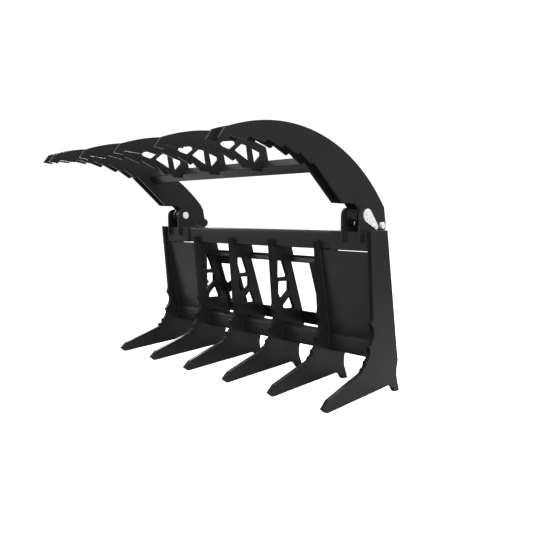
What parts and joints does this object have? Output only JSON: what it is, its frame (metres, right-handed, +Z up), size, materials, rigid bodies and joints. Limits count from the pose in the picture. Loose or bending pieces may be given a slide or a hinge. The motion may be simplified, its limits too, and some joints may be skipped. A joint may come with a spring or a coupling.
{
  "type": "grapple bucket",
  "caption": "Skid steer root grapple with barbed tine plates below, a toothed clamp hinged above on two hydraulic cylinders, and a universal quick attach at the back.",
  "frame": {"origin": "on the ground under the middle of the standing grapple", "axes": "+X across the attachment to the operator's left, +Y back to the loader, +Z up"},
  "size_m": [1.829, 1.3843, 1.3715],
  "materials": {
    "black_paint": "satin",
    "zinc": "bright zinc plate",
    "chrome_rod": "hard chrome"
  },
  "bodies": {
    "frame": {"side_plate_left": "black_paint", "side_plate_right": "black_paint", "tine_plate_1": "black_paint", "tine_plate_2": "black_paint", "tine_plate_3": "black_paint", "tine_plate_4": "black_paint", "top_beam": "black_paint", "beam_pad_left": "black_paint", "beam_pad_right": "black_paint", "bottom_tube": "black_paint", "back_panel_left": "black_paint", "back_panel_right": "black_paint", "hinge_lug_left_inner": "black_paint", "hinge_lug_left_outer": "black_paint", "hinge_lug_right_inner": "black_paint", "hinge_lug_right_outer": "black_paint", "attach_top_lip": "black_paint", "attach_bottom_plate": "black_paint", "attach_plate_left": "black_paint", "attach_plate_right": "black_paint", "cylinder_clevis_left": "black_paint", "cylinder_clevis_right": "black_paint", "hinge_pin_left": "zinc", "hinge_pin_right": "zinc", "flag_bolts": "zinc", "base_pin_left": "zinc", "base_pin_right": "zinc"},
    "clamp": {"clamp_arm_left_outer": "black_paint", "clamp_arm_left_inner": "black_paint", "clamp_arm_middle_left": "black_paint", "clamp_arm_middle": "black_paint", "clamp_arm_middle_right": "black_paint", "clamp_arm_right_inner": "black_paint", "clamp_arm_right_outer": "black_paint", "clamp_cross_tube": "black_paint", "hub_tube_left": "black_paint", "hub_tube_right": "black_paint", "rod_pin_left": "zinc", "rod_pin_right": "zinc", "grease_fittings": "zinc"},
    "cylinder_left": {"barrel_left": "black_paint", "gland_left": "zinc", "base_eye_left": "black_paint"},
    "piston_left": {"rod_left": "chrome_rod", "rod_eye_left": "black_paint", "rod_collar_left": "zinc"},
    "cylinder_right": {"barrel_right": "black_paint", "gland_right": "zinc", "base_eye_right": "black_paint"},
    "piston_right": {"rod_right": "chrome_rod", "rod_eye_right": "black_paint", "rod_collar_right": "zinc"}
  },
  "joints": [
    {"name": "clamp_hinge", "type": "hinge", "parent": "frame", "child": "clamp", "pos_m": [0, 0.32431, 0.97621], "axis": [1, 0, 0], "range_deg": [0, 80]},
    {"name": "cylinder_tilt_left", "type": "hinge", "parent": "frame", "child": "cylinder_left", "pos_m": [0.77119, 0.55846, 0.41959], "axis": [1, 0, 0], "range_deg": [0, 7.98]},
    {"name": "piston_slide_left", "type": "slide", "parent": "cylinder_left", "child": "piston_left", "axis": [0, -0.0654, 0.9979], "range_m": [0, 0.2499]},
    {"name": "cylinder_tilt_right", "type": "hinge", "parent": "frame", "child": "cylinder_right", "pos_m": [-0.77119, 0.55846, 0.41959], "axis": [1, 0, 0], "range_deg": [0, 7.98]},
    {"name": "piston_slide_right", "type": "slide", "parent": "cylinder_right", "child": "piston_right", "axis": [0, -0.0654, 0.9979], "range_m": [0, 0.2499]}
  ],
  "couplings": [
    {"joint": "cylinder_tilt_left", "follows": "clamp_hinge", "ratio": 0.099601},
    {"joint": "piston_slide_left", "follows": "clamp_hinge", "m_per_rad": 0.17882},
    {"joint": "cylinder_tilt_right", "follows": "clamp_hinge", "ratio": 0.099601},
    {"joint": "piston_slide_right", "follows": "clamp_hinge", "m_per_rad": 0.17882}
  ]
}
